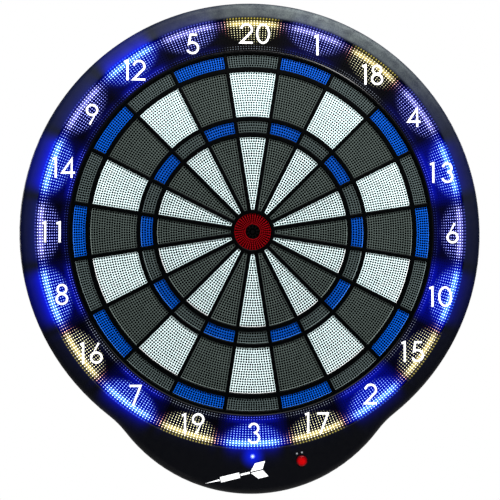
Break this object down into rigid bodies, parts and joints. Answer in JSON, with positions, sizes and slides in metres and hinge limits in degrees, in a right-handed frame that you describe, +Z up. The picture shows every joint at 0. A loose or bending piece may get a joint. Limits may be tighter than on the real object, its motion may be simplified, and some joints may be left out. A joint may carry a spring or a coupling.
{
  "type": "electronic dartboard",
  "caption": "Wall-hung electronic dartboard with spring-back scoring plates in a round web, a lit ring of numbers and a rounded control panel with one button.",
  "frame": {"origin": "on the axis of the bull, in the plane of the wall that the back rests on", "axes": "+X to the player's right, +Y into the wall, +Z up"},
  "size_m": [0.5088, 0.0436, 0.5409],
  "materials": {
    "white_plate": "satin moulded plastic",
    "dark_plate": "satin moulded plastic",
    "grey_plate": "satin moulded plastic",
    "blue_plate": "satin moulded plastic",
    "bull_red": "satin moulded plastic",
    "inner_bull_black": "satin moulded plastic",
    "web_black": "satin black plastic",
    "number_ring_black": "satin black plastic, perforated on the real part",
    "diffuser_white": "translucent white plastic",
    "circuit_board": "solder mask on fibreglass",
    "led_lit": "clear moulded light",
    "mat_rubber": "matt silicone rubber",
    "membrane_film": "printed polyester film",
    "backing_board": "hardboard",
    "bezel_black": "satin black plastic",
    "casing_black": "fine grained black plastic",
    "socket_shell": "bright stamped shell",
    "speaker_metal": "black painted basket",
    "screw_steel": "zinc plated",
    "pad_rubber": "matt rubber",
    "lens_clear": "clear polished light pipe",
    "button_red": "satin red plastic"
  },
  "bodies": {
    "board": {"rear_casing": "casing_black", "front_bezel": "bezel_black", "spider": "web_black", "number_ring": "number_ring_black", "light_diffuser": "diffuser_white", "led_ring_board": "circuit_board", "ring_leds": "led_lit", "matrix_mat": "mat_rubber", "membrane_sheets": "membrane_film", "backing_plate": "backing_board", "controller_board": "circuit_board", "button_switch_board": "circuit_board", "usb_socket": "socket_shell", "speaker": "speaker_metal", "case_screws": "screw_steel", "rubber_bumpers": "pad_rubber", "indicator_lenses": "lens_clear"},
    "start_button": {"start_button": "button_red"},
    "inner_bull": {"inner_bull": "inner_bull_black"},
    "outer_bull": {"outer_bull": "bull_red"},
    "singles_20": {"singles_20": "white_plate"},
    "multiples_20": {"multiples_20": "grey_plate"},
    "singles_1": {"singles_1": "dark_plate"},
    "multiples_1": {"multiples_1": "blue_plate"},
    "singles_18": {"singles_18": "white_plate"},
    "multiples_18": {"multiples_18": "grey_plate"},
    "singles_4": {"singles_4": "dark_plate"},
    "multiples_4": {"multiples_4": "blue_plate"},
    "singles_13": {"singles_13": "white_plate"},
    "multiples_13": {"multiples_13": "grey_plate"},
    "singles_6": {"singles_6": "dark_plate"},
    "multiples_6": {"multiples_6": "blue_plate"},
    "singles_10": {"singles_10": "white_plate"},
    "multiples_10": {"multiples_10": "grey_plate"},
    "singles_15": {"singles_15": "dark_plate"},
    "multiples_15": {"multiples_15": "blue_plate"},
    "singles_2": {"singles_2": "white_plate"},
    "multiples_2": {"multiples_2": "grey_plate"},
    "singles_17": {"singles_17": "dark_plate"},
    "multiples_17": {"multiples_17": "blue_plate"},
    "singles_3": {"singles_3": "white_plate"},
    "multiples_3": {"multiples_3": "grey_plate"},
    "singles_19": {"singles_19": "dark_plate"},
    "multiples_19": {"multiples_19": "blue_plate"},
    "singles_7": {"singles_7": "white_plate"},
    "multiples_7": {"multiples_7": "grey_plate"},
    "singles_16": {"singles_16": "dark_plate"},
    "multiples_16": {"multiples_16": "blue_plate"},
    "singles_8": {"singles_8": "white_plate"},
    "multiples_8": {"multiples_8": "grey_plate"},
    "singles_11": {"singles_11": "dark_plate"},
    "multiples_11": {"multiples_11": "blue_plate"},
    "singles_14": {"singles_14": "white_plate"},
    "multiples_14": {"multiples_14": "grey_plate"},
    "singles_9": {"singles_9": "dark_plate"},
    "multiples_9": {"multiples_9": "blue_plate"},
    "singles_12": {"singles_12": "white_plate"},
    "multiples_12": {"multiples_12": "grey_plate"},
    "singles_5": {"singles_5": "dark_plate"},
    "multiples_5": {"multiples_5": "blue_plate"}
  },
  "joints": [
    {"name": "start_button_press", "type": "slide", "parent": "board", "child": "start_button", "axis": [0, 1, 0], "range_m": [0, 0.001], "stiffness_N_per_m": 700},
    {"name": "inner_bull_press", "type": "slide", "parent": "board", "child": "inner_bull", "axis": [0, 1, 0], "range_m": [0, 0.0012], "stiffness_N_per_m": 1200},
    {"name": "outer_bull_press", "type": "slide", "parent": "board", "child": "outer_bull", "axis": [0, 1, 0], "range_m": [0, 0.0012], "stiffness_N_per_m": 1200},
    {"name": "singles_20_press", "type": "slide", "parent": "board", "child": "singles_20", "axis": [0, 1, 0], "range_m": [0, 0.0012], "stiffness_N_per_m": 1200},
    {"name": "multiples_20_press", "type": "slide", "parent": "board", "child": "multiples_20", "axis": [0, 1, 0], "range_m": [0, 0.0012], "stiffness_N_per_m": 1200},
    {"name": "singles_1_press", "type": "slide", "parent": "board", "child": "singles_1", "axis": [0, 1, 0], "range_m": [0, 0.0012], "stiffness_N_per_m": 1200},
    {"name": "multiples_1_press", "type": "slide", "parent": "board", "child": "multiples_1", "axis": [0, 1, 0], "range_m": [0, 0.0012], "stiffness_N_per_m": 1200},
    {"name": "singles_18_press", "type": "slide", "parent": "board", "child": "singles_18", "axis": [0, 1, 0], "range_m": [0, 0.0012], "stiffness_N_per_m": 1200},
    {"name": "multiples_18_press", "type": "slide", "parent": "board", "child": "multiples_18", "axis": [0, 1, 0], "range_m": [0, 0.0012], "stiffness_N_per_m": 1200},
    {"name": "singles_4_press", "type": "slide", "parent": "board", "child": "singles_4", "axis": [0, 1, 0], "range_m": [0, 0.0012], "stiffness_N_per_m": 1200},
    {"name": "multiples_4_press", "type": "slide", "parent": "board", "child": "multiples_4", "axis": [0, 1, 0], "range_m": [0, 0.0012], "stiffness_N_per_m": 1200},
    {"name": "singles_13_press", "type": "slide", "parent": "board", "child": "singles_13", "axis": [0, 1, 0], "range_m": [0, 0.0012], "stiffness_N_per_m": 1200},
    {"name": "multiples_13_press", "type": "slide", "parent": "board", "child": "multiples_13", "axis": [0, 1, 0], "range_m": [0, 0.0012], "stiffness_N_per_m": 1200},
    {"name": "singles_6_press", "type": "slide", "parent": "board", "child": "singles_6", "axis": [0, 1, 0], "range_m": [0, 0.0012], "stiffness_N_per_m": 1200},
    {"name": "multiples_6_press", "type": "slide", "parent": "board", "child": "multiples_6", "axis": [0, 1, 0], "range_m": [0, 0.0012], "stiffness_N_per_m": 1200},
    {"name": "singles_10_press", "type": "slide", "parent": "board", "child": "singles_10", "axis": [0, 1, 0], "range_m": [0, 0.0012], "stiffness_N_per_m": 1200},
    {"name": "multiples_10_press", "type": "slide", "parent": "board", "child": "multiples_10", "axis": [0, 1, 0], "range_m": [0, 0.0012], "stiffness_N_per_m": 1200},
    {"name": "singles_15_press", "type": "slide", "parent": "board", "child": "singles_15", "axis": [0, 1, 0], "range_m": [0, 0.0012], "stiffness_N_per_m": 1200},
    {"name": "multiples_15_press", "type": "slide", "parent": "board", "child": "multiples_15", "axis": [0, 1, 0], "range_m": [0, 0.0012], "stiffness_N_per_m": 1200},
    {"name": "singles_2_press", "type": "slide", "parent": "board", "child": "singles_2", "axis": [0, 1, 0], "range_m": [0, 0.0012], "stiffness_N_per_m": 1200},
    {"name": "multiples_2_press", "type": "slide", "parent": "board", "child": "multiples_2", "axis": [0, 1, 0], "range_m": [0, 0.0012], "stiffness_N_per_m": 1200},
    {"name": "singles_17_press", "type": "slide", "parent": "board", "child": "singles_17", "axis": [0, 1, 0], "range_m": [0, 0.0012], "stiffness_N_per_m": 1200},
    {"name": "multiples_17_press", "type": "slide", "parent": "board", "child": "multiples_17", "axis": [0, 1, 0], "range_m": [0, 0.0012], "stiffness_N_per_m": 1200},
    {"name": "singles_3_press", "type": "slide", "parent": "board", "child": "singles_3", "axis": [0, 1, 0], "range_m": [0, 0.0012], "stiffness_N_per_m": 1200},
    {"name": "multiples_3_press", "type": "slide", "parent": "board", "child": "multiples_3", "axis": [0, 1, 0], "range_m": [0, 0.0012], "stiffness_N_per_m": 1200},
    {"name": "singles_19_press", "type": "slide", "parent": "board", "child": "singles_19", "axis": [0, 1, 0], "range_m": [0, 0.0012], "stiffness_N_per_m": 1200},
    {"name": "multiples_19_press", "type": "slide", "parent": "board", "child": "multiples_19", "axis": [0, 1, 0], "range_m": [0, 0.0012], "stiffness_N_per_m": 1200},
    {"name": "singles_7_press", "type": "slide", "parent": "board", "child": "singles_7", "axis": [0, 1, 0], "range_m": [0, 0.0012], "stiffness_N_per_m": 1200},
    {"name": "multiples_7_press", "type": "slide", "parent": "board", "child": "multiples_7", "axis": [0, 1, 0], "range_m": [0, 0.0012], "stiffness_N_per_m": 1200},
    {"name": "singles_16_press", "type": "slide", "parent": "board", "child": "singles_16", "axis": [0, 1, 0], "range_m": [0, 0.0012], "stiffness_N_per_m": 1200},
    {"name": "multiples_16_press", "type": "slide", "parent": "board", "child": "multiples_16", "axis": [0, 1, 0], "range_m": [0, 0.0012], "stiffness_N_per_m": 1200},
    {"name": "singles_8_press", "type": "slide", "parent": "board", "child": "singles_8", "axis": [0, 1, 0], "range_m": [0, 0.0012], "stiffness_N_per_m": 1200},
    {"name": "multiples_8_press", "type": "slide", "parent": "board", "child": "multiples_8", "axis": [0, 1, 0], "range_m": [0, 0.0012], "stiffness_N_per_m": 1200},
    {"name": "singles_11_press", "type": "slide", "parent": "board", "child": "singles_11", "axis": [0, 1, 0], "range_m": [0, 0.0012], "stiffness_N_per_m": 1200},
    {"name": "multiples_11_press", "type": "slide", "parent": "board", "child": "multiples_11", "axis": [0, 1, 0], "range_m": [0, 0.0012], "stiffness_N_per_m": 1200},
    {"name": "singles_14_press", "type": "slide", "parent": "board", "child": "singles_14", "axis": [0, 1, 0], "range_m": [0, 0.0012], "stiffness_N_per_m": 1200},
    {"name": "multiples_14_press", "type": "slide", "parent": "board", "child": "multiples_14", "axis": [0, 1, 0], "range_m": [0, 0.0012], "stiffness_N_per_m": 1200},
    {"name": "singles_9_press", "type": "slide", "parent": "board", "child": "singles_9", "axis": [0, 1, 0], "range_m": [0, 0.0012], "stiffness_N_per_m": 1200},
    {"name": "multiples_9_press", "type": "slide", "parent": "board", "child": "multiples_9", "axis": [0, 1, 0], "range_m": [0, 0.0012], "stiffness_N_per_m": 1200},
    {"name": "singles_12_press", "type": "slide", "parent": "board", "child": "singles_12", "axis": [0, 1, 0], "range_m": [0, 0.0012], "stiffness_N_per_m": 1200},
    {"name": "multiples_12_press", "type": "slide", "parent": "board", "child": "multiples_12", "axis": [0, 1, 0], "range_m": [0, 0.0012], "stiffness_N_per_m": 1200},
    {"name": "singles_5_press", "type": "slide", "parent": "board", "child": "singles_5", "axis": [0, 1, 0], "range_m": [0, 0.0012], "stiffness_N_per_m": 1200},
    {"name": "multiples_5_press", "type": "slide", "parent": "board", "child": "multiples_5", "axis": [0, 1, 0], "range_m": [0, 0.0012], "stiffness_N_per_m": 1200}
  ]
}
